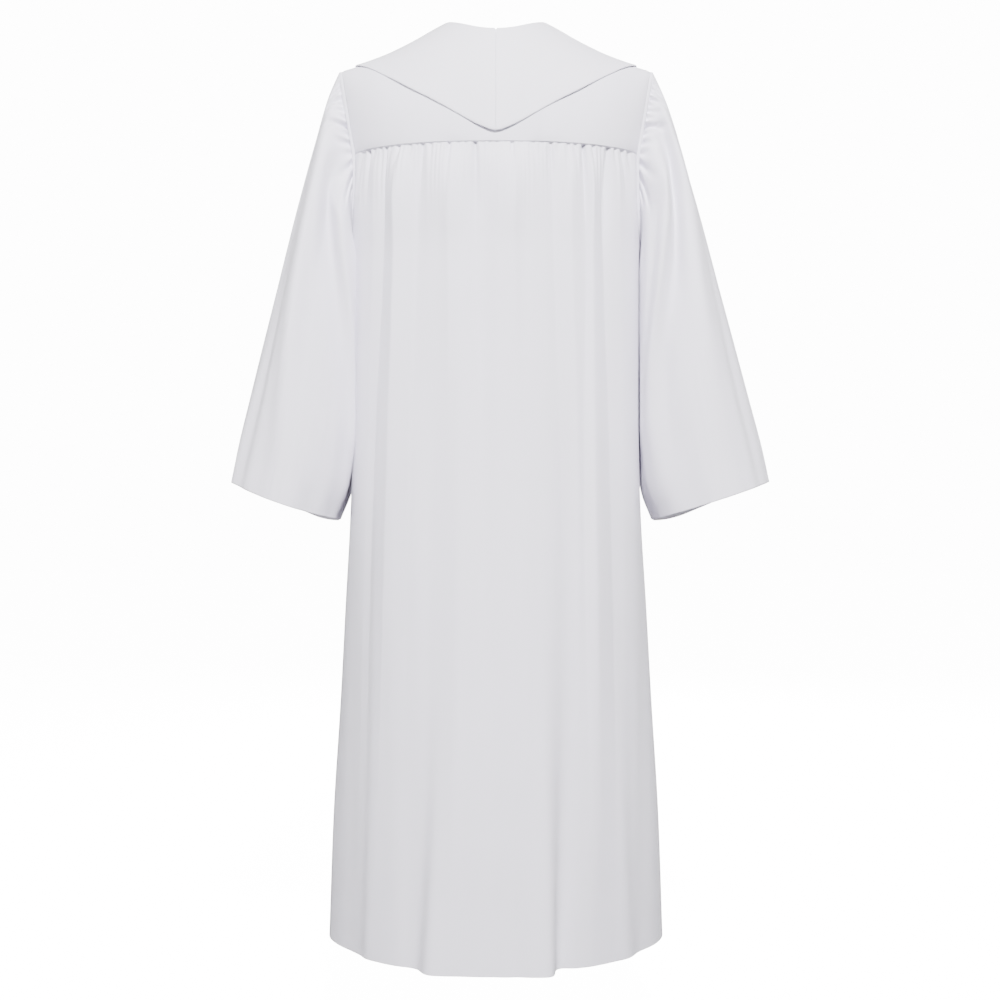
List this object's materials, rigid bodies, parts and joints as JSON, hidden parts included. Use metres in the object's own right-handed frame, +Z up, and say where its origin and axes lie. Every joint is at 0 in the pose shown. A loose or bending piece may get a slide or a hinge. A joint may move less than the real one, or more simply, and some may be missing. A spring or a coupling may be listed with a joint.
{
  "type": "clergy robe",
  "caption": "Full-length white robe with a mantle collar, gathered back and fronts below a yoke, and wide bell sleeves gathered at the head, filled out and hollow.",
  "frame": {"origin": "midway between the two neck points, where the wearer's shoulders carry the robe", "axes": "+Z up, -Y behind (the back that the picture shows), +Y before, +X to the wearer's right"},
  "size_m": [0.7605, 0.4128, 1.2934],
  "materials": {
    "robe_cloth": "matte white woven cloth with a slight cool cast",
    "collar_cloth": "the same matte white cloth, two layers pressed flat",
    "zip_tape": "plain white woven tape"
  },
  "bodies": {
    "root": {"back_panel": "robe_cloth", "collar_left": "collar_cloth", "collar_right": "collar_cloth", "front_left": "robe_cloth", "front_right": "robe_cloth", "sleeve_left": "robe_cloth", "sleeve_right": "robe_cloth", "yoke_back": "robe_cloth", "yoke_front_left": "robe_cloth", "yoke_front_right": "robe_cloth", "zip_tape": "zip_tape"}
  },
  "joints": []
}
